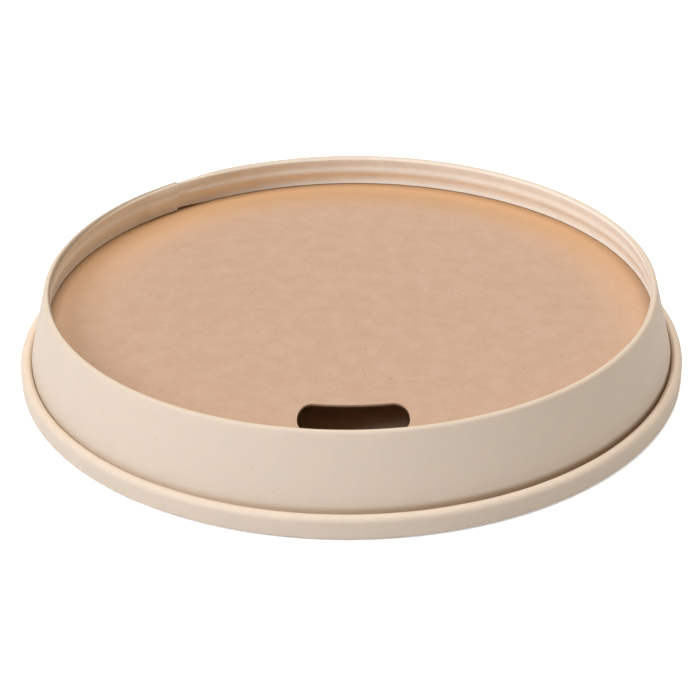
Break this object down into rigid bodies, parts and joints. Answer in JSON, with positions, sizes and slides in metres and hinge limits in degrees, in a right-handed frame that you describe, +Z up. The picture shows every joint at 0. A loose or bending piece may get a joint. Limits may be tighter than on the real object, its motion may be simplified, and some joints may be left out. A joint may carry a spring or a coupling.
{
  "type": "coffee cup lid",
  "caption": "Round paperboard lid for a takeaway coffee cup: tapered side wall with a rolled bead, and a recessed kraft disc with a curved sip hole.",
  "frame": {"origin": "centre of the circle that the rolled bead stands on, at the bottom of the lid", "axes": "+Z up out of the lid's top, along the axis of the round wall; the sip hole faces -Y"},
  "size_m": [0.094, 0.094, 0.0133],
  "materials": {
    "wall_paper": "pale cream paper, matt, with fine fibres",
    "kraft_disc": "light brown kraft card, matt, smooth"
  },
  "bodies": {
    "root": {"side_wall": "wall_paper", "top_disc": "kraft_disc"}
  },
  "joints": []
}
